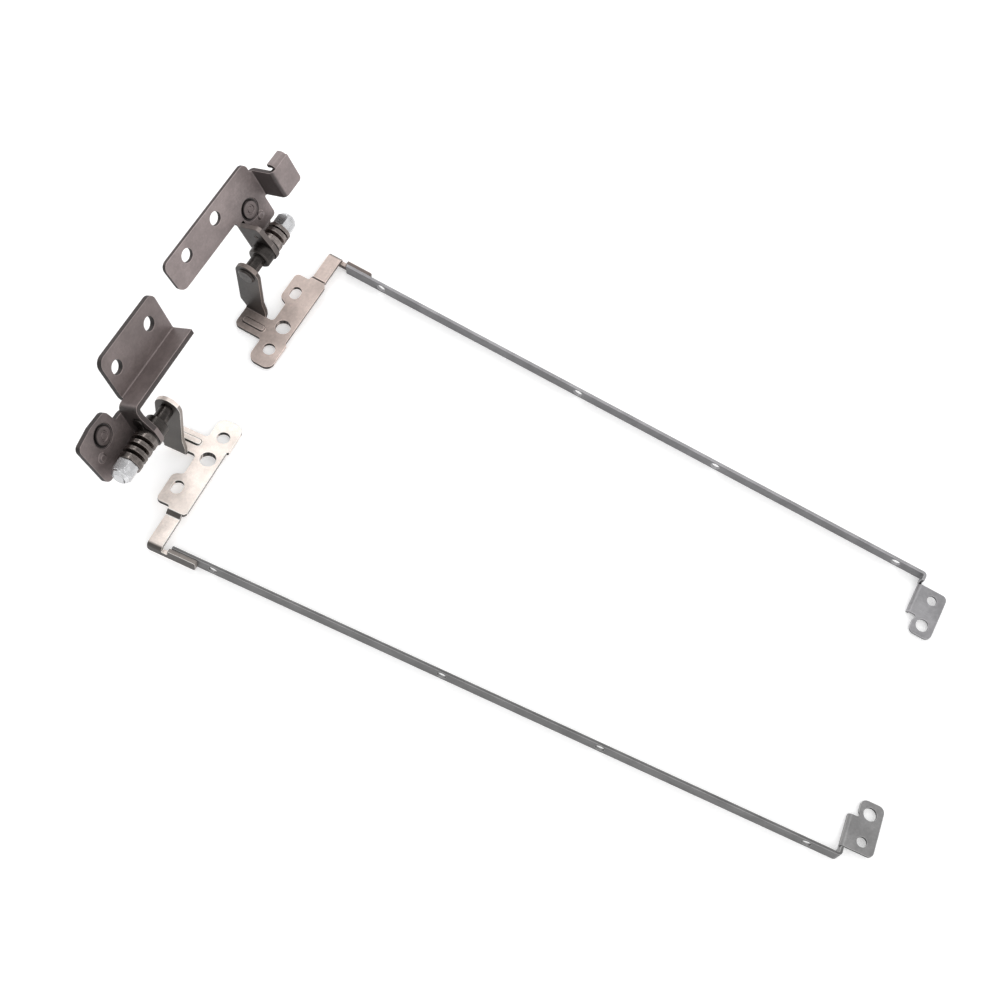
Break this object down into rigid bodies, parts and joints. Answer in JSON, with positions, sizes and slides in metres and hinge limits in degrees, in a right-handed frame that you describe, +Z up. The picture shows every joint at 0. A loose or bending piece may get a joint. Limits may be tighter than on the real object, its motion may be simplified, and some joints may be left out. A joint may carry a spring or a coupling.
{
  "type": "pair of laptop screen hinges",
  "caption": "Left and right screen hinges of a small laptop: each has a friction hinge between a screwed base bracket and a lid plate that carries a long drilled side rail for the display.",
  "frame": {"origin": "middle of the laid-out pair, on the table under it", "axes": "+X to the right across the pair, +Y along the rails away from the hinges, +Z up from the table"},
  "size_m": [0.0884, 0.1948, 0.0346],
  "materials": {
    "left_lid_bracket": "warm nickel plate, satin",
    "left_rail": "grey zinc plate, satin",
    "shaft_steel": "dark oiled steel",
    "spring_steel": "dark oiled spring steel",
    "nut_plating": "bright zinc plate",
    "left_base_steel": "dark nickel plate, satin",
    "knuckle_steel": "dark nickel plate, satin",
    "right_lid_bracket": "warm nickel plate, satin, brightly lit",
    "right_rail": "grey zinc plate, satin",
    "right_base_steel": "dark nickel plate, satin"
  },
  "bodies": {
    "lid_sides": {"left_lid_bracket": "left_lid_bracket", "left_rail": "left_rail", "left_shaft": "shaft_steel", "left_friction_washer": "spring_steel", "left_disc_spring_1": "spring_steel", "left_disc_spring_2": "spring_steel", "left_disc_spring_3": "spring_steel", "left_end_washer": "spring_steel", "left_lock_nut": "nut_plating", "right_lid_bracket": "right_lid_bracket", "right_rail": "right_rail", "right_shaft": "shaft_steel", "right_friction_washer": "spring_steel", "right_disc_spring_1": "spring_steel", "right_disc_spring_2": "spring_steel", "right_disc_spring_3": "spring_steel", "right_disc_spring_4": "spring_steel", "right_disc_spring_5": "spring_steel", "right_disc_spring_6": "spring_steel", "right_end_washer": "spring_steel", "right_lock_nut": "nut_plating"},
    "left_base": {"left_lock_plate": "shaft_steel", "left_base_plate": "left_base_steel", "left_knuckle": "knuckle_steel", "left_rivet": "left_base_steel"},
    "right_base": {"right_lock_plate": "shaft_steel", "right_base_bracket": "right_base_steel", "right_rivet": "right_base_steel"}
  },
  "joints": [
    {"name": "left_hinge", "type": "hinge", "parent": "lid_sides", "child": "left_base", "pos_m": [-0.02679, -0.08565, 0.01874], "axis": [0.9964, 0, -0.085], "range_deg": [-117, 28]},
    {"name": "right_hinge", "type": "hinge", "parent": "lid_sides", "child": "right_base", "pos_m": [0.0275, -0.0803, 0.01874], "axis": [0.9927, 0.0851, 0.085], "range_deg": [-117, 28]}
  ]
}
